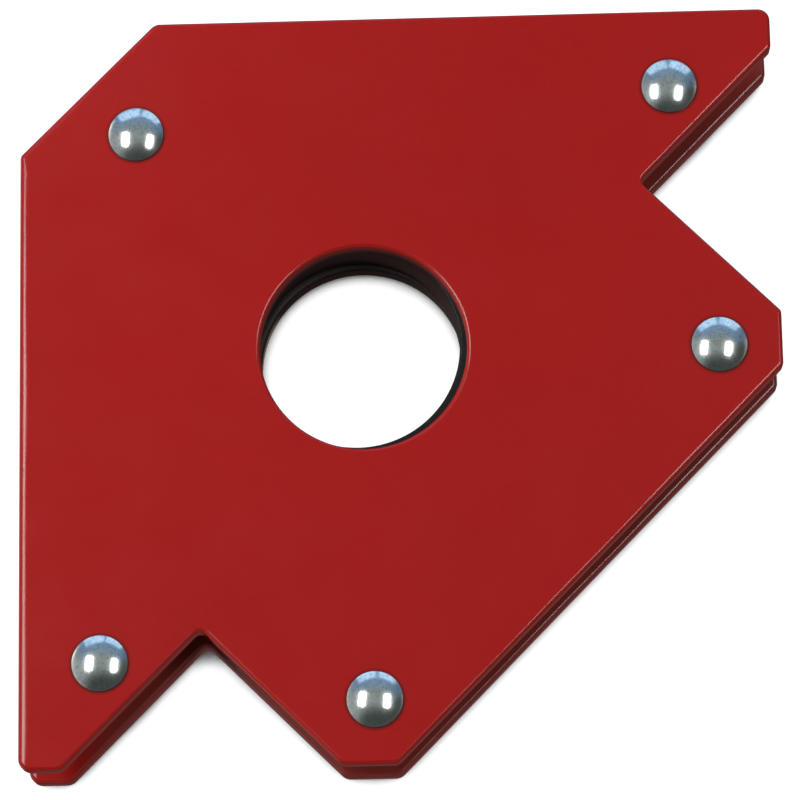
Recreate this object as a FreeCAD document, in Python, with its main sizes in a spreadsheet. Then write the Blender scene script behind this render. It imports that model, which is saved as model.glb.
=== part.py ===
import FreeCAD, Part
import math
import os

import Sketcher

# Welding magnet holder: two riveted steel pole plates with a ring magnet between them.
#
# Frame: +Z is normal to the plates and points out of the front plate, +X and +Y run along
# the long straight edges, and the origin is at the bottom centre of the whole holder, on
# the surface that the rear rivet heads stand on. Lengths are millimetres.

# Driving dimensions: alias, value, meaning.
DIMENSIONS = [
    ("plate_side", 127.0, "side of the square that each plate is cut from"),
    ("corner_cut", 22.8, "leg of the 45 degree cut at the upper left corner"),
    ("prong_flat", 6.9, "flat between a square corner and its notch"),
    ("notch_depth", 22.9, "depth of each 90 degree V-notch"),
    ("tip_flat", 9.25, "flat between a notch and the long diagonal"),
    ("plate_thickness", 4.0, "thickness of each plate"),
    ("plate_gap", 12.0, "clear space between the plates"),
    ("edge_round", 0.5, "rounding of the plate's edges"),
    ("square_round", 2.0, "plan radius of the square corners"),
    ("blunt_round", 2.2, "plan radius of the blunt corners on the top and bottom edges"),
    ("crisp_round", 1.2, "plan radius of the blunt corners on the left and right edges"),
    ("notch_round", 1.4, "plan radius at the bottom of each notch"),
    ("hole_radius", 17.25, "radius of the round hole in each plate"),
    ("hole_inset", 57.35, "hole centre from the left edge and from the top edge"),
    ("rear_hole_left", 0.6, "how far to the left the rear plate's hole is punched"),
    ("rear_hole_up", 0.2, "how far up the rear plate's hole is punched"),
    ("magnet_outer_radius", 45.0, "outer radius of the ring magnet"),
    ("magnet_bore_radius", 17.25, "bore radius of the ring magnet"),
    ("magnet_chamfer", 0.4, "chamfer on the ring magnet's rims"),
    ("magnet_shift_left", 1.2, "how far left of the hole's axis the ring magnet sits"),
    ("magnet_shift_up", 1.1, "how far above the hole's axis the ring magnet sits"),
    ("rivet_radius", 2.5, "radius of a rivet's shank"),
    ("rivet_hole_radius", 2.55, "radius of the rivet holes"),
    ("head_radius", 4.6, "radius of a rivet's front head"),
    ("head_height", 1.8, "height of a rivet's front head"),
    ("tail_radius", 4.3, "radius of a rivet's rear head"),
    ("tail_height", 2.0, "height of a rivet's rear head"),
    ("tail_land_radius", 2.2, "radius of the flat on a rear head"),
    ("head_rim", 0.3, "straight rim below each head's dome"),
    ("spacer_radius", 4.0, "outer radius of a spacer tube"),
    ("spacer_bore_radius", 2.6, "bore radius of a spacer tube"),
    ("rivet_corner_inset", 19.6, "rivet at the cut corner, from the left and top edges"),
    ("rivet_prong_inset", 13.4, "prong rivet, from the edge that it is nearest to"),
    ("rivet_prong_reach", 109.6, "prong rivet, from the far edge"),
    ("rivet_tip_inset", 58.35, "tip rivet, from the square corner's edge"),
    ("rivet_tip_reach", 116.5, "tip rivet, from the far edge"),
]
ALIASES = {alias for alias, _, _ in DIMENSIONS}

# Heights of the stack above the surface that the rear heads stand on.
REAR_LEVEL = "tail_height"
GAP_LEVEL = "tail_height + plate_thickness"
FRONT_LEVEL = "tail_height + plate_thickness + plate_gap"
FRONT_FACE = "tail_height + 2 * plate_thickness + plate_gap"

# The plate's outline, clockwise from the cut corner. Each point is given by its distance
# from the left edge and from the top edge; the outline mirrors about its diagonal.
OUTLINE = [
    ("0", "corner_cut"),
    ("corner_cut", "0"),
    ("plate_side", "0"),
    ("plate_side", "prong_flat"),
    ("plate_side - notch_depth", "prong_flat + notch_depth"),
    ("plate_side", "prong_flat + 2 * notch_depth"),
    ("plate_side", "prong_flat + 2 * notch_depth + tip_flat"),
    ("prong_flat + 2 * notch_depth + tip_flat", "plate_side"),
    ("prong_flat + 2 * notch_depth", "plate_side"),
    ("prong_flat + notch_depth", "plate_side - notch_depth"),
    ("prong_flat", "plate_side"),
    ("0", "plate_side"),
]
SQUARE_CORNERS = [2, 11]
NOTCH_CORNERS = [4, 9]
BLUNT_CORNERS = [1, 7, 8, 10]
CRISP_CORNERS = [0, 3, 5, 6]

# Rivets: name, distance from the left edge, distance from the top edge.
RIVETS = [
    ("top_left", "rivet_corner_inset", "rivet_corner_inset"),
    ("top_right", "rivet_prong_reach", "rivet_prong_inset"),
    ("right", "rivet_tip_reach", "rivet_tip_inset"),
    ("bottom", "rivet_tip_inset", "rivet_tip_reach"),
    ("bottom_left", "rivet_prong_inset", "rivet_prong_reach"),
]

# A rivet's half section as distance from its axis and height, outward from the rear head.
# Each dome is an arc with its centre on the axis, and starts at the point given here.
RIVET_SECTION = [
    ("0", "0"),
    ("tail_land_radius", "0"),
    ("tail_radius", "tail_height - head_rim"),
    ("tail_radius", "tail_height"),
    ("rivet_radius", "tail_height"),
    ("rivet_radius", FRONT_FACE),
    ("head_radius", FRONT_FACE),
    ("head_radius", FRONT_FACE + " + head_rim"),
    ("0", FRONT_FACE + " + head_height"),
]
RIVET_DOMES = [1, 7]

SAME = 1e-6

doc = FreeCAD.newDocument("WeldingMagnetHolder")
sheet = doc.addObject("Spreadsheet::Sheet", "Dimensions")
for row, (alias, value, meaning) in enumerate(DIMENSIONS, start=1):
    sheet.set(f"A{row}", alias)
    sheet.set(f"B{row}", str(value))
    sheet.set(f"C{row}", meaning)
    sheet.setAlias(f"B{row}", alias)
doc.recompute()


def formula(text):
    """The text with each alias written as a reference to the sheet."""
    words = text.replace("(", "( ").replace(")", " )").split()
    return " ".join(f"Dimensions.{word}" if word in ALIASES else word for word in words)


def across(from_left):
    """X of a place given by its distance from the plate's left edge."""
    return f"{from_left} - plate_side / 2"


def upward(from_top):
    """Y of a place given by its distance from the plate's top edge."""
    return f"plate_side / 2 - ({from_top})"


def new_body(label, x, y, z):
    """Empty body whose Placement follows three formulas."""
    body = doc.addObject("PartDesign::Body", label)
    body.Label = label
    for axis, text in (("x", x), ("y", y), ("z", z)):
        body.setExpression(f"Placement.Base.{axis}", formula(text))
    return body


def new_sketch(body, name, role):
    """Empty sketch on one of the body's own origin planes."""
    planes = [plane for plane in body.Origin.OriginFeatures if plane.Role == role]
    sketch = body.newObject("Sketcher::SketchObject", name)
    sketch.AttachmentSupport = [(planes[0], "")]
    sketch.MapMode = "FlatFace"
    return sketch


def drive(sketch, constraint, name, text):
    """Add a dimension to a sketch and drive it from the sheet."""
    index = sketch.addConstraint(constraint)
    sketch.renameConstraint(index, name)
    sketch.setExpression(f"Constraints.{name}", formula(text))


def place_point(sketch, edge, end, name, x, y):
    """Hold one point of the sketch at two formulas; 0 puts it on the sketch's own axis."""
    for kind, across_axis, text in (("DistanceX", -2, x), ("DistanceY", -1, y)):
        if text == "0":
            sketch.addConstraint(Sketcher.Constraint("PointOnObject", edge, end, across_axis))
        else:
            constraint = Sketcher.Constraint(kind, -1, 1, edge, end, 1.0)
            drive(sketch, constraint, name + kind[-1], text)


def add_circle(sketch, name, radius, x="0", y="0"):
    """Circle whose radius and centre are formulas."""
    circle = Part.Circle(FreeCAD.Vector(0, 0, 0), FreeCAD.Vector(0, 0, 1), 1.0)
    edge = sketch.addGeometry(circle, False)
    place_point(sketch, edge, 3, name, x, y)
    drive(sketch, Sketcher.Constraint("Radius", edge, 1.0), name + "Radius", radius)


def add_dome(sketch, before, after):
    """Arc centred on the sketch's upright axis, from one line's end to another's start."""
    start = sketch.getPoint(before, 2)
    stop = sketch.getPoint(after, 1)
    level = (stop.dot(stop) - start.dot(start)) / (2 * (stop.y - start.y))
    circle = Part.Circle()
    circle.Center = FreeCAD.Vector(0, level, 0)
    circle.Radius = math.hypot(start.x, start.y - level)
    turns = [math.atan2(point.y - level, point.x) for point in (start, stop)]
    arc = sketch.addGeometry(Part.ArcOfCircle(circle, *turns), False)
    sketch.addConstraint(Sketcher.Constraint("Coincident", arc, 1, before, 2))
    sketch.addConstraint(Sketcher.Constraint("Coincident", arc, 2, after, 1))
    sketch.addConstraint(Sketcher.Constraint("PointOnObject", arc, 3, -2))


def add_outline(sketch, points, domes=()):
    """Closed outline through points given as formulas. Returns the lines by their start.

    The lines begin on a rough circle, and the dimensions move them into place.
    """
    count = len(points)
    turn = 2 * math.pi / count
    rough = [FreeCAD.Vector(math.cos(turn * i), math.sin(turn * i), 0) for i in range(count)]
    lines = {}
    for i in range(count):
        if i not in domes:
            segment = Part.LineSegment(rough[i], rough[(i + 1) % count])
            lines[i] = sketch.addGeometry(segment, False)
    for i, (x, y) in enumerate(points):
        before = (i - 1) % count
        if i in lines:
            place_point(sketch, lines[i], 1, f"point{i}", x, y)
        else:
            place_point(sketch, lines[before], 2, f"point{i}", x, y)
        if i in lines and before in lines:
            corner = Sketcher.Constraint("Coincident", lines[before], 2, lines[i], 1)
            sketch.addConstraint(corner)
    doc.recompute()
    for i in domes:
        add_dome(sketch, lines[i - 1], lines[i + 1])
    doc.recompute()
    return lines


def pad(body, sketch, name, length):
    """Pad a sketch by a length formula."""
    feature = body.newObject("PartDesign::Pad", name)
    feature.Profile = sketch
    feature.setExpression("Length", formula(length))
    doc.recompute()
    return feature


def dress(body, kind, name, base, wanted, size, alias):
    """Fillet or chamfer the edges of a feature that pass a test."""
    edges = base.Shape.Edges
    names = [f"Edge{i}" for i, edge in enumerate(edges, start=1) if wanted(edge)]
    feature = body.newObject(f"PartDesign::{kind}", name)
    feature.Base = (base, names)
    feature.setExpression(size, formula(alias))
    doc.recompute()
    return feature


def is_level(edge):
    """True for an edge in one horizontal plane."""
    return edge.BoundBox.ZLength < SAME


def stands_on(spots):
    """Test for an upright edge at one of several points of the outline."""

    def wanted(edge):
        foot = edge.Vertexes[0].Point
        sideways = math.hypot(edge.BoundBox.XLength, edge.BoundBox.YLength)
        near = [spot for spot in spots if math.hypot(foot.x - spot.x, foot.y - spot.y) < SAME]
        return sideways < SAME and bool(near)

    return wanted


def is_plate_rim(edge):
    """True for a level edge that isn't the rim of a rivet hole."""
    radius = getattr(edge.Curve, "Radius", 0)
    return is_level(edge) and abs(radius - sheet.rivet_hole_radius) > SAME


def make_plate(label, level, hole_x, hole_y):
    """One pole plate: the punched blank, its corners rounded, then its edges."""
    body = new_body(label, "0", "0", level)
    sketch = new_sketch(body, label + "_outline", "XY_Plane")
    lines = add_outline(sketch, [(across(x), upward(y)) for x, y in OUTLINE])
    add_circle(sketch, "hole", "hole_radius", hole_x, hole_y)
    for name, x, y in RIVETS:
        hole = name.replace("_", "") + "Rivet"
        add_circle(sketch, hole, "rivet_hole_radius", across(x), upward(y))
    shape = pad(body, sketch, label + "_blank", "plate_thickness")

    corners = [
        ("square", SQUARE_CORNERS),
        ("blunt", BLUNT_CORNERS),
        ("crisp", CRISP_CORNERS),
        ("notch", NOTCH_CORNERS),
    ]
    for name, points in corners:
        spots = [sketch.getPoint(lines[i], 1) for i in points]
        feature = f"{label}_{name}_corners"
        shape = dress(body, "Fillet", feature, shape, stands_on(spots), "Radius", name + "_round")
    dress(body, "Fillet", label + "_edges", shape, is_plate_rim, "Radius", "edge_round")
    return body


def make_spacer(label, x, y):
    """Tube round a rivet's shank, as long as the gap between the plates."""
    body = new_body(label, x, y, GAP_LEVEL)
    sketch = new_sketch(body, label + "_section", "XY_Plane")
    add_circle(sketch, "outside", "spacer_radius")
    add_circle(sketch, "bore", "spacer_bore_radius")
    pad(body, sketch, label + "_tube", "plate_gap")
    return body


def make_magnet(label):
    """Ring magnet that fills the gap round the plates' hole, seated a little off its axis."""
    x = across("hole_inset") + " - magnet_shift_left"
    y = upward("hole_inset") + " + magnet_shift_up"
    body = new_body(label, x, y, GAP_LEVEL)
    sketch = new_sketch(body, label + "_section", "XY_Plane")
    add_circle(sketch, "outside", "magnet_outer_radius")
    add_circle(sketch, "bore", "magnet_bore_radius")
    shape = pad(body, sketch, label + "_ring", "plate_gap")
    dress(body, "Chamfer", label + "_rims", shape, is_level, "Size", "magnet_chamfer")
    return body


def make_rivet(label, x, y):
    """Rivet turned about its own axis: rear head, shank and domed front head."""
    body = new_body(label, x, y, "0")
    sketch = new_sketch(body, label + "_section", "XZ_Plane")
    add_outline(sketch, RIVET_SECTION, RIVET_DOMES)
    turned = body.newObject("PartDesign::Revolution", label + "_turned")
    turned.Profile = sketch
    turned.ReferenceAxis = (sketch, ["V_Axis"])
    turned.Angle = 360
    return body


def make_holder():
    """Every sub-part of the holder, in place."""
    hole_x = across("hole_inset")
    hole_y = upward("hole_inset")
    rear_hole_x = hole_x + " - rear_hole_left"
    rear_hole_y = hole_y + " + rear_hole_up"
    bodies = [
        make_plate("front_plate", FRONT_LEVEL, hole_x, hole_y),
        make_plate("rear_plate", REAR_LEVEL, rear_hole_x, rear_hole_y),
        make_magnet("ring_magnet"),
    ]
    for name, x, y in RIVETS:
        bodies.append(make_rivet(f"rivet_{name}", across(x), upward(y)))
        bodies.append(make_spacer(f"spacer_{name}", across(x), upward(y)))
    doc.recompute()
    return bodies


def check(bodies):
    """Stop if any object failed, or if a sub-part isn't one valid solid."""
    for item in doc.Objects:
        if {"Invalid", "Error"} & set(item.State):
            raise RuntimeError(f"{item.Name}: {item.State}")
    for body in bodies:
        shape = body.Shape
        if shape.isNull() or not shape.isValid() or len(shape.Solids) != 1:
            raise RuntimeError(f"{body.Label} isn't one valid solid")
        print(f"{body.Label}: {shape.Volume:.1f} mm3")


holder = make_holder()
check(holder)
os.makedirs("parts", exist_ok=True)
for body in holder:
    body.Shape.exportStep(f"parts/{body.Label}.step")
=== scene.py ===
import math

import bmesh
import bpy
import numpy as np
from mathutils import Matrix, Vector, geometry
from mathutils.noise import noise as wobble


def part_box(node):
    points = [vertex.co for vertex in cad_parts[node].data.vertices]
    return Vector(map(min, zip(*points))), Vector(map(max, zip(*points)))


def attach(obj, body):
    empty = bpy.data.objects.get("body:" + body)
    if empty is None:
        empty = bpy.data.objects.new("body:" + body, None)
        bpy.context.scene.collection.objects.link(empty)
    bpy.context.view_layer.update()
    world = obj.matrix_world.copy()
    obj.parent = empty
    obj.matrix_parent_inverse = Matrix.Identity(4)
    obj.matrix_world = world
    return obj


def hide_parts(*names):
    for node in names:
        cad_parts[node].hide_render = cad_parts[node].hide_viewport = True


# Looks of the welding magnet holder, lying face up on a pale floor. Lengths are metres.

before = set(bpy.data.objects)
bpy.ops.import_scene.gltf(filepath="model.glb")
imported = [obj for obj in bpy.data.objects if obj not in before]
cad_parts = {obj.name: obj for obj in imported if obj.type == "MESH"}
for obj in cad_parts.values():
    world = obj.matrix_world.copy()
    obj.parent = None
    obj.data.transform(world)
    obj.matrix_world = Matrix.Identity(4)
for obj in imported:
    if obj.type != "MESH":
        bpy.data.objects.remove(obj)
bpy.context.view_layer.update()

MM = 0.001
RIVETS = ["top_left", "top_right", "right", "bottom", "bottom_left"]

# Levels of the stack, and the side of the square that the plates are cut from.
FRONT_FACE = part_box("front_plate")[1].z
FRONT_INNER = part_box("front_plate")[0].z
REAR_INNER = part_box("rear_plate")[1].z
REAR_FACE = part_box("rear_plate")[0].z
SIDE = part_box("front_plate")[1].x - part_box("front_plate")[0].x

# The plates' outline and holes, as designed.
CORNER_CUT = 22.8 * MM
PRONG_FLAT = 6.9 * MM
NOTCH_DEPTH = 22.9 * MM
TIP_FLAT = 9.25 * MM
SQUARE_ROUND = 2.0 * MM
BLUNT_ROUND = 2.2 * MM
CRISP_ROUND = 1.2 * MM
NOTCH_ROUND = 1.4 * MM
HOLE_RADIUS = 17.25 * MM
HOLE_INSET = 57.35 * MM
FRONT_HOLE = Vector((HOLE_INSET - SIDE / 2, SIDE / 2 - HOLE_INSET))
REAR_HOLE = FRONT_HOLE + Vector((-0.6, 0.2)) * MM
RIVET_HOLE_RADIUS = 2.55 * MM

# Punching rolls an edge over, down the wall and in along the face, furthest on the left.
ROLL_DEPTH = 0.6 * MM
ROLL_NARROW = 0.7 * MM
ROLL_WIDE = 1.45 * MM
HOLE_ROLL = 0.8 * MM
ROLL_WAVE = 19 * MM
ROLL_CHANGE = 0.35
RIVET_EASE = 0.15 * MM

# How finely the plates' meshes follow their rolls, corners, straights, faces and holes.
ROLL_STEPS = 10
EASE_STEPS = 2
CORNER_STEPS = 8
RUN_STEP = 2.5 * MM
FACE_STEP = 3.0 * MM
HOLE_STEPS = 144
RIVET_HOLE_STEPS = 32

# Rivets: a flat land on the domed rear head, and a short upright rim round both heads.
SHANK_RADIUS = 2.5 * MM
TAIL_RADIUS = 4.3 * MM
TAIL_LAND = 2.2 * MM
HEAD_RIM = 0.3 * MM
HEAD_EASE = 0.12 * MM
TAIL_STEPS = 14
HEAD_STEPS = 28
RIVET_STEPS = 112

# Ring magnet: rounded rims, with shallow chips where a noise rises over its threshold.
MAGNET_EASE = 0.4 * MM
MAGNET_EASE_STEPS = 4
MAGNET_STEPS = 300
CHIP_SIZE = 1.7 * MM
CHIP_DEPTH = 0.8 * MM
CHIP_THRESHOLD = 0.45

# Camera: it looks almost straight down, from a little below the lower edge.
CAMERA_TARGET = Vector((-0.18 * MM, -3.05 * MM, FRONT_FACE))
CAMERA_DISTANCE = 0.6535
CAMERA_AZIMUTH = 5.844
CAMERA_ELEVATION = 76.936
CAMERA_ROLL = -7.040
CAMERA_LENS = 177.42

# Powder coat: its two clouded tones and grain, its darker edges and nicks, then painted light and
# shade: a lighter red on the front plate's walls, shade round the rivet heads, in the gap and in the
# holes, and bounce light on the rear hole's left wall.
RED_TONES = ((0.207, 0.0022, 0.0018), (0.190, 0.0020, 0.0016))
RED_GRAIN = (0.226, 0.0030, 0.0025)
RED_EDGE = (0.17, 0.010, 0.007)
RED_WALL_PAINTED_LIGHT = (0.36, 0.012, 0.009)
NICK = (0.035, 0.018, 0.015)
PAINTED_RIVET_SHADE = (0.03, 0.002, 0.002)
PAINTED_GAP_SHADE = (0.105, 0.027, 0.021)
PAINTED_HOLE_SHADE = (0.013, 0.008, 0.006)
PAINTED_BOUNCE_LIGHT = (0.48, 0.34, 0.29)

# The other materials: two clouded tones each, then the colour of their small marks.
FERRITE_TONES = ((0.0030, 0.0034, 0.0032), (0.0060, 0.0067, 0.0062))
FERRITE_CHIP = (0.02, 0.02, 0.02)
STEEL_TONES = ((0.74, 0.76, 0.75), (0.64, 0.67, 0.66))
STEEL_SPOT = (0.38, 0.42, 0.41)
ZINC_TONES = ((0.50, 0.50, 0.48), (0.36, 0.365, 0.36))
FLOOR_TONES = ((0.16, 0.16, 0.16), (0.14, 0.14, 0.14))

# Studio: the colour of the lamps and of the windows.
WHITE = (1.0, 0.99, 0.97)
SKY = (0.60, 0.80, 1.0)


# ---------------------------------------------------------------- shader nodes


def new_material(name):
    """Material whose node tree holds a Principled shader. Returns both."""
    material = bpy.data.materials.new(name)
    material.use_nodes = True
    tree = material.node_tree
    tree.nodes.clear()
    output = tree.nodes.new("ShaderNodeOutputMaterial")
    shader = tree.nodes.new("ShaderNodeBsdfPrincipled")
    tree.links.new(shader.outputs["BSDF"], output.inputs["Surface"])
    return material, shader


def place(tree):
    """Coordinates in the row frame."""
    return tree.nodes.new("ShaderNodeTexCoord").outputs["Object"]


def noise(tree, where, size, detail=2.0, roughness=0.5):
    """Noise whose blobs are about the given size."""
    node = tree.nodes.new("ShaderNodeTexNoise")
    node.inputs["Scale"].default_value = 1.0 / size
    node.inputs["Detail"].default_value = detail
    node.inputs["Roughness"].default_value = roughness
    tree.links.new(where, node.inputs["Vector"])
    return node.outputs["Fac"]


def stretch(tree, where, scale):
    """Coordinates scaled by three factors."""
    node = tree.nodes.new("ShaderNodeMapping")
    node.inputs["Scale"].default_value = scale
    tree.links.new(where, node.inputs["Vector"])
    return node.outputs["Vector"]


def remap(tree, value, low, high, to_low=0.0, to_high=1.0):
    """Value moved from one range to another, and held inside it."""
    node = tree.nodes.new("ShaderNodeMapRange")
    tree.links.new(value, node.inputs["Value"])
    node.inputs["From Min"].default_value = low
    node.inputs["From Max"].default_value = high
    node.inputs["To Min"].default_value = to_low
    node.inputs["To Max"].default_value = to_high
    return node.outputs["Result"]


def combine(tree, operation, first, second=0.0):
    """Math node on outputs or numbers."""
    node = tree.nodes.new("ShaderNodeMath")
    node.operation = operation
    for socket, value in zip(node.inputs, (first, second)):
        if isinstance(value, (int, float)):
            socket.default_value = value
        else:
            tree.links.new(value, socket)
    return node.outputs["Value"]


def mix_colours(tree, share, first, second):
    """Blend of two colours, each a colour or an output."""
    node = tree.nodes.new("ShaderNodeMix")
    node.data_type = "RGBA"
    tree.links.new(share, node.inputs["Factor"])
    for name, value in (("A", first), ("B", second)):
        socket = next(s for s in node.inputs if s.name == name and s.type == "RGBA")
        if isinstance(value, tuple):
            socket.default_value = (*value, 1.0)
        else:
            tree.links.new(value, socket)
    return next(s for s in node.outputs if s.type == "RGBA")


def bump(tree, height, distance, strength, under=None):
    """Bump as high as the given distance."""
    node = tree.nodes.new("ShaderNodeBump")
    node.inputs["Distance"].default_value = distance
    node.inputs["Strength"].default_value = strength
    tree.links.new(height, node.inputs["Height"])
    if under is not None:
        tree.links.new(under, node.inputs["Normal"])
    return node.outputs["Normal"]


def upward(tree, vector):
    """Third part of a vector."""
    parts = tree.nodes.new("ShaderNodeSeparateXYZ")
    tree.links.new(vector, parts.inputs["Vector"])
    return parts.outputs["Z"]


def lean(tree):
    """How far the surface leans: 0 on a wall, 1 on a level face."""
    normal = tree.nodes.new("ShaderNodeNewGeometry").outputs["Normal"]
    return combine(tree, "ABSOLUTE", upward(tree, normal))


def off_axis(tree, where, x, y):
    """Distance from an upright axis."""
    flat = tree.nodes.new("ShaderNodeVectorMath")
    flat.operation = "MULTIPLY"
    flat.inputs[1].default_value = (1, 1, 0)
    tree.links.new(where, flat.inputs[0])
    gap = tree.nodes.new("ShaderNodeVectorMath")
    gap.operation = "DISTANCE"
    gap.inputs[1].default_value = (x, y, 0)
    tree.links.new(flat.outputs["Vector"], gap.inputs[0])
    return gap.outputs["Value"]


def rolled_edges(tree):
    """1 on the rounded edges between a face and a wall, and 0 elsewhere."""
    up = lean(tree)
    off_face = remap(tree, up, 0.995, 0.95)
    off_wall = remap(tree, up, 0.05, 0.3)
    return combine(tree, "MULTIPLY", off_face, off_wall)


# ---------------------------------------------------------------- materials


def clouded(tree, clouds, tones):
    """Slow drift between two tones."""
    return mix_colours(tree, remap(tree, clouds, 0.3, 0.7), *tones)


def painted_shade_beside_rivets(tree, where):
    """Share of painted shade in the ring round each rivet's head."""
    nearest = 1.0
    for rivet in RIVETS:
        low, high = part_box(f"rivet_{rivet}")
        away = off_axis(tree, where, *((low + high) / 2).to_2d())
        nearest = combine(tree, "MINIMUM", away, nearest)
    return remap(tree, nearest, 4.6 * MM, 5.3 * MM, 0.75, 0.0)


def painted_gap_shade(tree, where, height):
    """Share of painted shade inside the gap between the plates. The lower left prong, where light gets
    in, has little.
    """
    middle = (FRONT_INNER + REAR_INNER) / 2
    half_gap = (FRONT_INNER - REAR_INNER) / 2
    from_middle = combine(tree, "ABSOLUTE", combine(tree, "SUBTRACT", height, middle))
    inside = remap(tree, from_middle, half_gap + 0.7 * MM, half_gap + 0.2 * MM)
    prong = off_axis(tree, where, -SIDE / 2, -SIDE / 2)
    return combine(tree, "MULTIPLY", inside, remap(tree, prong, 8 * MM, 17 * MM, 0.12, 0.6))


def painted_hole_shade(tree, where, height):
    """Share of painted shade on the walls of the big holes, more further down, and on the ledge at the
    rear plate's hole.
    """
    away = off_axis(tree, where, *FRONT_HOLE)
    rim = HOLE_RADIUS + HOLE_ROLL
    upright = remap(tree, lean(tree), 0.6, 0.1)
    wall = combine(tree, "MULTIPLY", remap(tree, away, rim + 0.05 * MM, rim - 0.05 * MM), upright)
    deep = remap(tree, height, FRONT_INNER + 0.5 * MM, FRONT_FACE - 0.2 * MM, 0.92, 0.25)
    wall = combine(tree, "MULTIPLY", wall, deep)
    low = remap(tree, height, REAR_INNER + 2 * MM, REAR_INNER + 1 * MM)
    ledge = combine(tree, "MULTIPLY", remap(tree, away, rim + 1.55 * MM, rim + 0.75 * MM), low)
    return combine(tree, "MAXIMUM", wall, ledge)


def hole_light_and_shade(tree, where, height):
    """Painted shade in the holes, with a pale painted bounce light on the left, low on the rear
    plate's wall.
    """
    away = off_axis(tree, where, FRONT_HOLE.x - HOLE_RADIUS, FRONT_HOLE.y)
    # Painted bounce light: pale on the left of the rear hole's wall.
    bounce_lit = remap(tree, away, 11 * MM, 6.5 * MM)
    low = remap(tree, height, REAR_INNER - 0.8 * MM, REAR_INNER - 1.6 * MM)
    bounce_lit = combine(tree, "MULTIPLY", bounce_lit, low)
    return mix_colours(tree, bounce_lit, PAINTED_HOLE_SHADE, PAINTED_BOUNCE_LIGHT)


def red_powder_coat():
    """Glossy red powder coat: faint clouding, orange peel, darker and nicked at its edges, with
    painted light on the front plate's walls and painted shade round the rivets, in the gap and in the
    holes.
    """
    material, shader = new_material("red_powder_coat")
    tree = material.node_tree
    where = place(tree)
    height = upward(tree, where)
    grain = noise(tree, where, 0.9 * MM, detail=3.0, roughness=0.6)
    edges = rolled_edges(tree)
    nicks = remap(tree, noise(tree, where, 1.4 * MM, detail=3.0), 0.70, 0.73)
    nicked = combine(tree, "MULTIPLY", edges, nicks)
    on_front_plate = remap(tree, height, (FRONT_INNER + REAR_INNER) / 2, FRONT_INNER, 0, 0.6)
    # Painted light: the upright walls of the front plate get a lighter red.
    painted_wall_light = combine(tree, "MULTIPLY", remap(tree, lean(tree), 0.45, 0.15), on_front_plate)
    hole_shade = painted_hole_shade(tree, where, height)

    colour = clouded(tree, noise(tree, where, 45 * MM, detail=3.0), RED_TONES)
    colour = mix_colours(tree, remap(tree, grain, 0.35, 0.75, 0, 0.3), colour, RED_GRAIN)
    colour = mix_colours(tree, remap(tree, edges, 0, 1, 0, 0.25), colour, RED_EDGE)
    # Painted light on the front plate's walls.
    colour = mix_colours(tree, painted_wall_light, colour, RED_WALL_PAINTED_LIGHT)
    colour = mix_colours(tree, nicked, colour, NICK)
    # Painted shade round the rivet heads.
    colour = mix_colours(tree, painted_shade_beside_rivets(tree, where), colour, PAINTED_RIVET_SHADE)
    # Painted shade in the gap between the plates.
    colour = mix_colours(tree, painted_gap_shade(tree, where, height), colour, PAINTED_GAP_SHADE)
    # Painted shade in the holes, with painted bounce light on the left of the rear hole's wall.
    colour = mix_colours(tree, hole_shade, colour, hole_light_and_shade(tree, where, height))
    tree.links.new(colour, shader.inputs["Base Color"])

    smudges = noise(tree, where, 14 * MM, detail=4.0, roughness=0.6)
    dullness = remap(tree, smudges, 0.3, 0.7, 0.17, 0.23)
    dullness = combine(tree, "ADD", dullness, remap(tree, hole_shade, 0, 1, 0, 0.4))
    dullness = combine(tree, "ADD", dullness, remap(tree, nicked, 0, 1, 0, 0.4))
    tree.links.new(dullness, shader.inputs["Roughness"])

    peel = noise(tree, where, 1.3 * MM, detail=2.0)
    normal = bump(tree, peel, 0.012 * MM, 0.35)
    normal = bump(tree, grain, 0.004 * MM, 0.4, normal)
    normal = bump(tree, combine(tree, "SUBTRACT", 1.0, nicked), 0.06 * MM, 0.8, normal)
    tree.links.new(normal, shader.inputs["Normal"])
    shader.inputs["Specular IOR Level"].default_value = 0.35
    return material


def black_ferrite():
    """Sintered ferrite: nearly black, with a fine grain and paler chips along its rims."""
    material, shader = new_material("black_ferrite")
    tree = material.node_tree
    where = place(tree)
    grain = noise(tree, where, 0.5 * MM, detail=4.0, roughness=0.7)
    patches = noise(tree, where, 9 * MM, detail=3.0)
    chips = remap(tree, noise(tree, where, 1.1 * MM, detail=3.0), 0.6, 0.66)
    chipped = combine(tree, "MULTIPLY", rolled_edges(tree), chips)
    colour = clouded(tree, patches, FERRITE_TONES)
    tree.links.new(mix_colours(tree, chipped, colour, FERRITE_CHIP), shader.inputs["Base Color"])
    tree.links.new(remap(tree, patches, 0.3, 0.7, 0.34, 0.42), shader.inputs["Roughness"])
    shader.inputs["Specular IOR Level"].default_value = 0.15
    ground = noise(tree, stretch(tree, where, (1, 1, 9)), 1.5 * MM, detail=2.0)
    normal = bump(tree, grain, 0.015 * MM, 0.4)
    normal = bump(tree, ground, 0.02 * MM, 0.3, normal)
    tree.links.new(normal, shader.inputs["Normal"])
    return material


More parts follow.
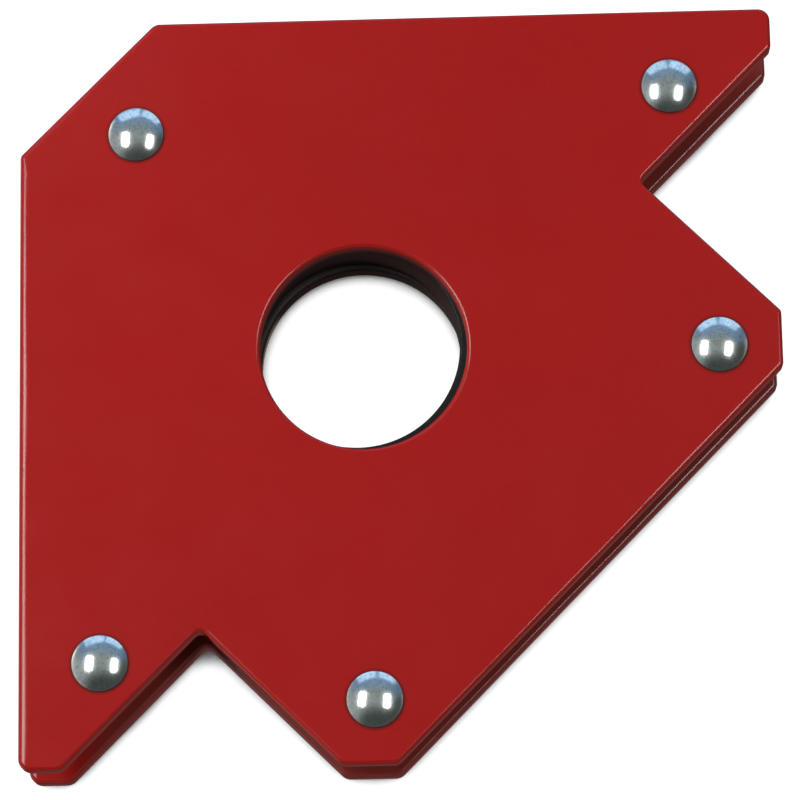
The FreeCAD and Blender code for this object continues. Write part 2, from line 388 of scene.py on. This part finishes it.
def polished_steel():
    """Bright plated rivet steel: faint waviness, hairlines, and fine dull and pitted spots."""
    material, shader = new_material("polished_steel")
    tree = material.node_tree
    where = place(tree)
    clouds = noise(tree, where, 2.2 * MM, detail=3.0)
    spots = noise(tree, where, 0.55 * MM, detail=4.0, roughness=0.7)
    colour = clouded(tree, clouds, STEEL_TONES)
    colour = mix_colours(tree, remap(tree, spots, 0.48, 0.68, 0, 0.75), colour, STEEL_SPOT)
    tree.links.new(colour, shader.inputs["Base Color"])
    shader.inputs["Metallic"].default_value = 1.0
    tree.links.new(remap(tree, spots, 0.3, 0.75, 0.13, 0.21), shader.inputs["Roughness"])
    hairlines = noise(tree, stretch(tree, where, (1, 7, 1)), 0.5 * MM, detail=3.0)
    normal = bump(tree, clouds, 0.03 * MM, 0.3)
    normal = bump(tree, hairlines, 0.004 * MM, 0.35, normal)
    normal = bump(tree, spots, 0.006 * MM, 0.35, normal)
    tree.links.new(normal, shader.inputs["Normal"])
    return material


def zinc_tube():
    """Dull zinc-plated tube, with drawing lines along its length."""
    material, shader = new_material("zinc_tube")
    tree = material.node_tree
    where = place(tree)
    spangle = noise(tree, where, 2.5 * MM, detail=3.0)
    tree.links.new(clouded(tree, spangle, ZINC_TONES), shader.inputs["Base Color"])
    shader.inputs["Metallic"].default_value = 1.0
    tree.links.new(remap(tree, spangle, 0.3, 0.7, 0.3, 0.5), shader.inputs["Roughness"])
    drawn = noise(tree, stretch(tree, where, (1, 1, 0.04)), 0.35 * MM, detail=2.0)
    tree.links.new(bump(tree, drawn, 0.02 * MM, 0.4), shader.inputs["Normal"])
    return material


def pale_floor():
    """White studio floor that glows, with a painted contact shadow that dims it where the holder
    almost touches it.
    """
    material, shader = new_material("pale_floor")
    tree = material.node_tree
    clouds = noise(tree, place(tree), 0.3, detail=2.0)
    tree.links.new(clouded(tree, clouds, FLOOR_TONES), shader.inputs["Base Color"])
    shader.inputs["Roughness"].default_value = 0.8
    shader.inputs["Specular IOR Level"].default_value = 0.1
    # Painted contact shadow: the floor's emission is dimmed where the holder is near.
    contact = tree.nodes.new("ShaderNodeAmbientOcclusion")
    contact.samples = 16
    contact.inputs["Distance"].default_value = 5 * MM
    glow_with_painted_shadow = remap(tree, contact.outputs["AO"], 0.46, 0.66, 0.04, 1.0)
    shader.inputs["Emission Color"].default_value = (1.0, 1.0, 1.0, 1.0)
    tree.links.new(glow_with_painted_shadow, shader.inputs["Emission Strength"])
    return material


# ---------------------------------------------------------------- mesh helpers


def new_piece(name, mesh, material, node):
    """Object for a mesh, which rides on the holder and stands for one CAD node."""
    piece = bpy.data.objects.new(name, mesh)
    bpy.context.scene.collection.objects.link(piece)
    mesh.materials.append(material)
    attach(piece, "root")
    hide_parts(node)
    return piece


def arc(centre, start, stop, count):
    """Points of a half section, from start to stop round a centre, both ends included."""
    radius = (Vector(start) - Vector(centre)).length
    first = math.atan2(start[1] - centre[1], start[0] - centre[0])
    last = math.atan2(stop[1] - centre[1], stop[0] - centre[0])
    turns = [first + (last - first) * i / count for i in range(count + 1)]
    return [(centre[0] + radius * math.cos(t), centre[1] + radius * math.sin(t)) for t in turns]


def lathe(name, section, x, y, steps, closed=False, crease=40.0):
    """Mesh turned about an upright axis. A point of the section on the axis is a pole."""
    mesh = bpy.data.meshes.new(name)
    bm = bmesh.new()
    turn = 2 * math.pi / steps
    rings = []
    for radius, z in section:
        count = steps if radius > 0 else 1
        ways = [(math.cos(turn * i), math.sin(turn * i)) for i in range(count)]
        rings.append([bm.verts.new((x + radius * cos, y + radius * sin, z)) for cos, sin in ways])
    following = rings[1:] + rings[:1] if closed else rings[1:]
    for low, high in zip(rings, following):
        for i in range(steps):
            j = (i + 1) % steps
            corners = [ring[k % len(ring)] for ring, k in ((low, i), (low, j), (high, j), (high, i))]
            bm.faces.new(list(dict.fromkeys(corners)))
    bmesh.ops.recalc_face_normals(bm, faces=bm.faces)
    bm.to_mesh(mesh)
    bm.free()
    mesh.shade_smooth()
    mesh.set_sharp_from_angle(angle=math.radians(crease))
    return mesh


# ---------------------------------------------------------------- plates


def outline_corners():
    """The plate's corners, clockwise from the cut corner, each with its plan radius."""
    far_side = PRONG_FLAT + 2 * NOTCH_DEPTH
    half = [
        (CORNER_CUT, 0, BLUNT_ROUND, CRISP_ROUND),
        (SIDE, 0, SQUARE_ROUND, SQUARE_ROUND),
        (SIDE, PRONG_FLAT, CRISP_ROUND, BLUNT_ROUND),
        (SIDE - NOTCH_DEPTH, PRONG_FLAT + NOTCH_DEPTH, NOTCH_ROUND, NOTCH_ROUND),
        (SIDE, far_side, CRISP_ROUND, BLUNT_ROUND),
        (SIDE, far_side + TIP_FLAT, CRISP_ROUND, BLUNT_ROUND),
    ]
    corners = [(across, down, radius) for across, down, radius, _ in half]
    corners += [(down, across, radius) for across, down, _, radius in reversed(half)]
    centre = SIDE / 2
    return [(Vector((across - centre, centre - down)), radius) for across, down, radius in corners]


def outward(way):
    """Outward direction of an edge that runs clockwise."""
    return Vector((-way.y, way.x))


def turned(way, angle):
    """Direction turned clockwise."""
    return Matrix.Rotation(-angle, 2) @ way


def plate_outline():
    """Points round the plate and their outward directions, clockwise."""
    corners = outline_corners()
    spots = [corner for corner, _ in corners]
    bends = []
    for i, (corner, radius) in enumerate(corners):
        before = (corner - spots[i - 1]).normalized()
        after = (spots[(i + 1) % len(spots)] - corner).normalized()
        bend = before.angle_signed(after)
        start = corner - before * radius * math.tan(abs(bend) / 2)
        side = math.copysign(radius, bend)
        ways = [turned(outward(before), bend * k / CORNER_STEPS) for k in range(CORNER_STEPS + 1)]
        bends.append([(start - side * ways[0] + side * way, way) for way in ways])
    loop = []
    for bend, following in zip(bends, bends[1:] + bends[:1]):
        start, way = bend[-1]
        stop = following[0][0]
        runs = max(1, round((stop - start).length / RUN_STEP))
        loop += bend + [(start.lerp(stop, k / runs), way) for k in range(1, runs)]
    return loop


def hole_outline(centre, radius, steps):
    """Points round a hole and their directions into it, anticlockwise."""
    turns = [2 * math.pi * k / steps for k in range(steps)]
    ways = [Vector((-math.cos(turn), -math.sin(turn))) for turn in turns]
    return [(centre - way * radius, way) for way in ways]


def unevenness(point):
    """Gentle change in the width of a roll from place to place."""
    return 1 + ROLL_CHANGE * wobble(point.to_3d() / ROLL_WAVE)


def roll_widths(loop):
    """Width of the roll at each point of the outline. It shrinks to fit round tight corners."""
    widths = []
    for point, way in loop:
        to_left = max(0.0, -way.x)
        width = ROLL_NARROW + (ROLL_WIDE - ROLL_NARROW) * to_left**3
        room = []
        for corner, radius in outline_corners():
            beyond = max(0.0, (point - corner).length - radius)
            room.append(0.8 * radius + 0.35 * beyond)
        widths.append(min(width * unevenness(point), *room))
    return widths


def roll_section(low, high, depth, steps):
    """Edge profile from the upper face down: turn round the roll, height and up or down."""
    turns = [math.pi / 2 * k / steps for k in range(steps + 1)]
    upper = [(turn, high - depth * (1 - math.cos(turn)), 1) for turn in turns]
    lower = [(turn, low + depth * (1 - math.cos(turn)), -1) for turn in reversed(turns)]
    return upper + lower


def within(points, loops):
    """Which points lie inside the first loop and outside the others."""
    crossings = np.zeros(len(points), int)
    for loop in loops:
        for (ax, ay), (bx, by) in zip(loop, loop[1:] + loop[:1]):
            if ay == by:
                continue
            straddles = (points[:, 1] < ay) != (points[:, 1] < by)
            meets = ax + (points[:, 1] - ay) * (bx - ax) / (by - ay)
            crossings += straddles & (points[:, 0] < meets)
    return crossings % 2 == 1


def fill_face(loops):
    """Triangles over the face that the loops bound, with an even grid of points inside it.

    Returns the grid's points and the triangles, which number the loops' points first.
    """
    rim = np.array([point for loop in loops for point in loop])
    ticks = np.arange(-SIDE / 2 + FACE_STEP, SIDE / 2, FACE_STEP)
    shifts = [0.5 * FACE_STEP * (row % 2) for row in range(len(ticks))]
    grid = np.array([(x + shift, y) for shift, y in zip(shifts, ticks) for x in ticks])
    gaps = np.sqrt(((grid[:, None, :] - rim[None, :, :]) ** 2).sum(2)).min(1)
    grid = grid[within(grid, loops) & (gaps > 0.55 * FACE_STEP)]
    edges, first = [], 0
    for loop in loops:
        edges += [(first + k, first + (k + 1) % len(loop)) for k in range(len(loop))]
        first += len(loop)
    points = np.vstack([rim, grid])
    flat = [Vector(point) / MM for point in points]
    found, _, faces, origins, _, _ = geometry.delaunay_2d_cdt(flat, edges, [], 0, 1e-6)
    numbers = [origin[0] for origin in origins]
    triangles = np.array([[numbers[k] for k in face] for face in faces])
    middles = points[triangles].mean(1)
    return grid, triangles[within(middles, loops)]


def plate_mesh(name, low, high, hole):
    """Plate with rolled edges, made of rings round each outline and an even fill."""
    loop = plate_outline()
    outlines = [(loop, roll_widths(loop), ROLL_DEPTH, ROLL_STEPS)]
    loop = hole_outline(hole, HOLE_RADIUS, HOLE_STEPS)
    widths = [HOLE_ROLL * unevenness(point) for point, _ in loop]
    outlines.append((loop, widths, ROLL_DEPTH, ROLL_STEPS))
    for rivet in RIVETS:
        corner_low, corner_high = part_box(f"rivet_{rivet}")
        centre = ((corner_low + corner_high) / 2).to_2d()
        loop = hole_outline(centre, RIVET_HOLE_RADIUS, RIVET_HOLE_STEPS)
        outlines.append((loop, [RIVET_EASE] * len(loop), RIVET_EASE, EASE_STEPS))

    spots, normals, faces, top_rings, low_rings = [], [], [], [], []
    for loop, widths, depth, steps in outlines:
        count = len(loop)
        section = roll_section(low, high, depth, steps)
        first = len(spots)
        for turn, z, facing in section:
            for (point, way), wide in zip(loop, widths):
                spots.append((*(point - way * wide * (1 - math.sin(turn))), z))
                side, up = math.sin(turn) / wide, math.cos(turn) / depth
                length = math.hypot(side, up)
                normals.append((way.x * side / length, way.y * side / length, facing * up / length))
        for row in range(len(section) - 1):
            for k in range(count):
                start = first + row * count
                here, there = start + k, start + (k + 1) % count
                faces.append((here, there, there + count, here + count))
        top_rings.append(list(range(first, first + count)))
        low_rings.append(list(range(first + (len(section) - 1) * count, len(spots))))

    grid, triangles = fill_face([[spots[k][:2] for k in ring] for ring in top_rings])
    for rings, z, up in ((top_rings, high, 1.0), (low_rings, low, -1.0)):
        numbers = [k for ring in rings for k in ring]
        numbers += range(len(spots), len(spots) + len(grid))
        spots += [(x, y, z) for x, y in grid]
        normals += [(0.0, 0.0, up)] * len(grid)
        for triangle in triangles:
            corners = [numbers[k] for k in triangle]
            a, b, c = (Vector(spots[k]) for k in corners)
            if (b - a).cross(c - a).z * up < 0:
                corners.reverse()
            faces.append(tuple(corners))

    mesh = bpy.data.meshes.new(name)
    mesh.from_pydata(spots, [], faces)
    mesh.shade_smooth()
    mesh.normals_split_custom_set_from_vertices(normals)
    return mesh


# ---------------------------------------------------------------- rivets and magnet


def rivet_mesh(name, low, high):
    """Rivet with a low domed front head, and a rear head set against the rear plate."""
    x, y = (low.x + high.x) / 2, (low.y + high.y) / 2
    shoulder = REAR_FACE - HEAD_RIM
    drop = shoulder - low.z
    level = (TAIL_RADIUS**2 - TAIL_LAND**2 + drop**2) / (2 * drop) + low.z
    tail = arc((0.0, level), (TAIL_LAND, low.z), (TAIL_RADIUS, shoulder), TAIL_STEPS)
    tail += [(TAIL_RADIUS, REAR_FACE - HEAD_EASE), (TAIL_RADIUS - HEAD_EASE, REAR_FACE)]

    head = (high.x - low.x) / 2
    base = FRONT_FACE + HEAD_RIM
    rise = high.z - base
    radius = (head**2 + rise**2) / (2 * rise)
    dome = [(head - HEAD_EASE, FRONT_FACE), (head, FRONT_FACE + HEAD_EASE)]
    dome += arc((0.0, high.z - radius), (head, base), (0.0, high.z), HEAD_STEPS)[:-1]

    shank = [(SHANK_RADIUS, REAR_FACE), (SHANK_RADIUS, FRONT_FACE)]
    section = [(0.0, low.z)] + tail + shank + dome + [(0.0, high.z)]
    return lathe(name, section, x, y, RIVET_STEPS)


def magnet_mesh(name):
    """Ring magnet with rounded, slightly chipped rims."""
    low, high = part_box(name)
    x, y = (low.x + high.x) / 2, (low.y + high.y) / 2
    outer = (high.x - low.x) / 2
    bore = HOLE_RADIUS
    rims = [(bore, low.z, 180), (outer, low.z, 270), (outer, high.z, 0), (bore, high.z, 90)]
    section = []
    for radius, z, first in rims:
        centre_r = radius + (MAGNET_EASE if radius == bore else -MAGNET_EASE)
        centre_z = z + (MAGNET_EASE if z == low.z else -MAGNET_EASE)
        for step in range(MAGNET_EASE_STEPS + 1):
            turn = math.radians(first + 90 * step / MAGNET_EASE_STEPS)
            away, up = MAGNET_EASE * math.cos(turn), MAGNET_EASE * math.sin(turn)
            section.append((centre_r + away, centre_z + up))
    mesh = lathe(name, section, x, y, MAGNET_STEPS, closed=True)
    middle = (low.z + high.z) / 2
    for vertex in mesh.vertices:
        chip = wobble(vertex.co / CHIP_SIZE) - CHIP_THRESHOLD
        near_rim = abs(vertex.co.z - middle) > (high.z - low.z) / 2 - MAGNET_EASE * 1.01
        if chip > 0 and near_rim:
            vertex.co.z += math.copysign(1, middle - vertex.co.z) * chip * CHIP_DEPTH
    return mesh


def dress_node(name, material):
    """Give a CAD node a procedural material."""
    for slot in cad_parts[name].material_slots:
        slot.material = material


# ---------------------------------------------------------------- stage


def make_floor():
    """Flat pale floor that the rear rivet heads stand on. It isn't mirrored in the holder."""
    half = 3.0
    mesh = bpy.data.meshes.new("floor")
    corners = [(-half, -half, 0), (half, -half, 0), (half, half, 0), (-half, half, 0)]
    mesh.from_pydata(corners, [], [(0, 1, 2, 3)])
    floor = bpy.data.objects.new("floor", mesh)
    bpy.context.scene.collection.objects.link(floor)
    mesh.materials.append(pale_floor())
    floor.visible_diffuse = False
    floor.visible_glossy = False


def make_light(name, spot, size, radiance, colour, target=(0, 0, 0.02)):
    """Soft light turned towards a target. Its size is its level side, then the other."""
    data = bpy.data.lights.new(name, "AREA")
    data.shape = "RECTANGLE"
    data.size, data.size_y = size
    data.energy = radiance * size[0] * size[1] * math.pi
    data.color = colour
    light = bpy.data.objects.new(name, data)
    bpy.context.scene.collection.objects.link(light)
    light.location = spot
    way = Vector(target) - Vector(spot)
    light.rotation_mode = "QUATERNION"
    light.rotation_quaternion = way.to_track_quat("-Z", "Y")
    light.visible_camera = False
    return light


def make_lights():
    """Two softboxes overhead, a fill at the upper left, a low apron in front and two windows.

    The fill and the apron are too broad to be mirrored in the holder.
    """
    make_light("softbox_left", (-0.385, 0.04, 0.62), (0.38, 0.165), 13.0, WHITE)
    make_light("softbox_right", (0.325, -0.03, 0.62), (0.36, 0.15), 11.0, WHITE)
    fill = make_light("fill", (-0.30, 0.32, 0.46), (0.40, 0.40), 8.0, WHITE)
    apron = make_light("apron", (0.15, -0.62, 0.07), (0.90, 0.24), 1.7, WHITE)
    for light in (fill, apron):
        light.visible_glossy = False
    for name, x in (("window_left", -0.50), ("window_right", 0.70)):
        make_light(name, (x, 1.5, 0.50), (1.12, 0.80), 0.8, SKY)


def lobe(tree, way, towards, near, far):
    """1 within the near angle of a direction, and 0 beyond the far angle, in degrees."""
    dot = tree.nodes.new("ShaderNodeVectorMath")
    dot.operation = "DOT_PRODUCT"
    tree.links.new(way, dot.inputs[0])
    dot.inputs[1].default_value = Vector(towards).normalized()
    edge, full = (math.cos(math.radians(angle)) for angle in (far, near))
    return remap(tree, dot.outputs["Value"], edge, full)


def make_world():
    """Dim surroundings with a pale belt at the horizon. The camera itself sees plain white."""
    world = bpy.data.worlds.new("studio")
    bpy.context.scene.world = world
    world.use_nodes = True
    tree = world.node_tree
    tree.nodes.clear()
    way = tree.nodes.new("ShaderNodeTexCoord").outputs["Generated"]
    height = upward(tree, way)
    colour = (0.060, 0.070, 0.066)
    lobes = [
        ((0.0, 0.6, 0.8), 20, 60, (0.18, 0.23, 0.27)),
        ((0.0, 0.9, 0.35), 20, 75, (0.20, 0.34, 0.55)),
        ((0.0, 0.1, 1.0), 10, 50, (0.29, 0.33, 0.31)),
        ((-0.9, -0.1, 0.40), 12, 48, (0.36, 0.39, 0.40)),
        ((0.1, -0.8, 0.6), 15, 50, (0.06, 0.072, 0.068)),
        ((0.0, 0.0, -1.0), 60, 95, (0.130, 0.072, 0.066)),
    ]
    for towards, near, far, tint in lobes:
        colour = mix_colours(tree, lobe(tree, way, towards, near, far), colour, tint)
    belt = combine(tree, "MULTIPLY", remap(tree, height, -0.10, 0.05), remap(tree, height, 0.42, 0.22))
    belt = combine(tree, "MULTIPLY", belt, lobe(tree, way, (0.0, -1.0, 0.0), 100, 120))
    colour = mix_colours(tree, belt, colour, (0.65, 0.62, 0.58))
    to_left = lobe(tree, way, (-1.0, 0.0, 0.0), 25, 50)
    to_left = combine(tree, "MULTIPLY", remap(tree, height, 0.26, 0.12), to_left)
    colour = mix_colours(tree, to_left, colour, (2.3, 2.15, 2.0))
    dim = tree.nodes.new("ShaderNodeBackground")
    tree.links.new(colour, dim.inputs["Color"])
    pale = tree.nodes.new("ShaderNodeBackground")
    pale.inputs["Color"].default_value = (1.0, 1.0, 1.0, 1.0)
    seen = tree.nodes.new("ShaderNodeLightPath").outputs["Is Camera Ray"]
    either = tree.nodes.new("ShaderNodeMixShader")
    tree.links.new(seen, either.inputs["Fac"])
    tree.links.new(dim.outputs["Background"], either.inputs[1])
    tree.links.new(pale.outputs["Background"], either.inputs[2])
    output = tree.nodes.new("ShaderNodeOutputWorld")
    tree.links.new(either.outputs["Shader"], output.inputs["Surface"])


def make_camera():
    """Camera at the distance, angle and roll given above."""
    data = bpy.data.cameras.new("camera")
    data.lens = CAMERA_LENS
    data.sensor_width = 36.0
    data.clip_start, data.clip_end = 0.01, 20.0
    camera = bpy.data.objects.new("camera", data)
    bpy.context.scene.collection.objects.link(camera)
    turn, lift = math.radians(CAMERA_AZIMUTH), math.radians(CAMERA_ELEVATION)
    level = math.cos(lift)
    back = Vector((math.sin(turn) * level, -math.cos(turn) * level, math.sin(lift)))
    moved = Matrix.Translation(CAMERA_TARGET + back * CAMERA_DISTANCE)
    rotation = (-back).to_track_quat("-Z", "Y").to_matrix().to_4x4()
    roll = Matrix.Rotation(math.radians(CAMERA_ROLL), 4, "Z")
    camera.matrix_world = moved @ rotation @ roll
    bpy.context.scene.camera = camera


# ---------------------------------------------------------------- the scene

coat = red_powder_coat()
plates = [
    ("front_plate", FRONT_INNER, FRONT_FACE, FRONT_HOLE),
    ("rear_plate", REAR_FACE, REAR_INNER, REAR_HOLE),
]
for node, low_z, high_z, hole_centre in plates:
    mesh = plate_mesh(node, low_z, high_z, hole_centre)
    new_piece(f"{node}_coated", mesh, coat, node)

mesh = magnet_mesh("ring_magnet")
new_piece("ring_magnet_sintered", mesh, black_ferrite(), "ring_magnet")

steel = polished_steel()
zinc = zinc_tube()
for rivet in RIVETS:
    node = f"rivet_{rivet}"
    new_piece(f"{node}_set", rivet_mesh(node, *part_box(node)), steel, node)
    dress_node(f"spacer_{rivet}", zinc)

make_floor()
make_lights()
make_world()
make_camera()
bpy.context.scene.view_settings.view_transform = "Standard"
